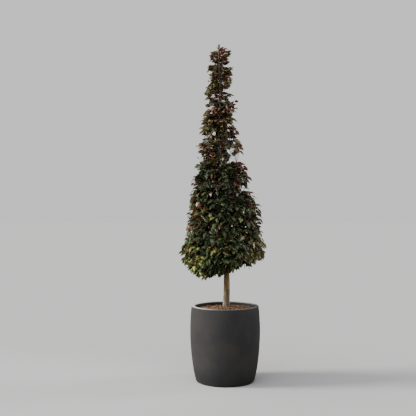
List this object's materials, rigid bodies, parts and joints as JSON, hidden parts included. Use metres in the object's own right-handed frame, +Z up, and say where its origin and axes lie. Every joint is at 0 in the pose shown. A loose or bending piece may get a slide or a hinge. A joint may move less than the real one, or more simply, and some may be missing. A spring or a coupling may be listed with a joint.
{
  "type": "potted columnar beech",
  "caption": "Slim columnar beech with dark purple and bronze-green leaves on a clear trunk, growing in a matt charcoal barrel-shaped planter topped with bark chips.",
  "frame": {"origin": "middle of the planter's flat underside", "axes": "+Z up along the planter's axis and the trunk, -Y towards the viewer, +X to the viewer's right"},
  "size_m": [0.6497, 0.6019, 2.4184],
  "materials": {
    "fibre_cement": "matt charcoal fibre cement, faintly mottled",
    "potting_soil": "dark moist soil",
    "bark_chips": "reddish-brown bark chips",
    "beech_bark": "smooth tan-grey beech bark",
    "green_purple_leaf": "satin dark green leaves flushed purple",
    "copper_purple_leaf": "satin purple-brown leaves with copper shoots"
  },
  "bodies": {
    "root": {"planter": "fibre_cement", "potting_soil": "potting_soil", "bark_mulch": "bark_chips", "trunk": "beech_bark", "skirt_bough_1": "beech_bark", "skirt_bough_2": "beech_bark", "skirt_bough_3": "beech_bark", "skirt_bough_4": "beech_bark", "skirt_bough_5": "beech_bark", "skirt_bough_6": "beech_bark", "bell_bough_1": "beech_bark", "bell_bough_2": "beech_bark", "bell_bough_3": "beech_bark", "bell_bough_4": "beech_bark", "bell_bough_5": "beech_bark", "bell_bough_6": "beech_bark", "waist_bough_1": "beech_bark", "waist_bough_2": "beech_bark", "waist_bough_3": "beech_bark", "waist_bough_4": "beech_bark", "waist_bough_5": "beech_bark", "shoulder_bough_1": "beech_bark", "shoulder_bough_2": "beech_bark", "shoulder_bough_3": "beech_bark", "shoulder_bough_4": "beech_bark", "skirt_foliage_1": "green_purple_leaf", "skirt_foliage_2": "green_purple_leaf", "skirt_foliage_3": "green_purple_leaf", "skirt_foliage_4": "green_purple_leaf", "skirt_foliage_5": "green_purple_leaf", "skirt_foliage_6": "green_purple_leaf", "bell_foliage_1": "green_purple_leaf", "bell_foliage_2": "green_purple_leaf", "bell_foliage_3": "green_purple_leaf", "bell_foliage_4": "green_purple_leaf", "bell_foliage_5": "green_purple_leaf", "bell_foliage_6": "green_purple_leaf", "waist_foliage_1": "green_purple_leaf", "waist_foliage_2": "green_purple_leaf", "waist_foliage_3": "green_purple_leaf", "waist_foliage_4": "green_purple_leaf", "waist_foliage_5": "green_purple_leaf", "shoulder_foliage_1": "copper_purple_leaf", "shoulder_foliage_2": "copper_purple_leaf", "shoulder_foliage_3": "copper_purple_leaf", "shoulder_foliage_4": "copper_purple_leaf", "spire_foliage_1": "copper_purple_leaf", "spire_foliage_2": "copper_purple_leaf", "spire_foliage_3": "copper_purple_leaf", "upper_spire_foliage_1": "copper_purple_leaf", "upper_spire_foliage_2": "copper_purple_leaf", "upper_spire_foliage_3": "copper_purple_leaf", "leader_foliage_1": "copper_purple_leaf", "leader_foliage_2": "copper_purple_leaf", "leader_foliage_3": "copper_purple_leaf", "leader_tip_tuft": "copper_purple_leaf"}
  },
  "joints": []
}
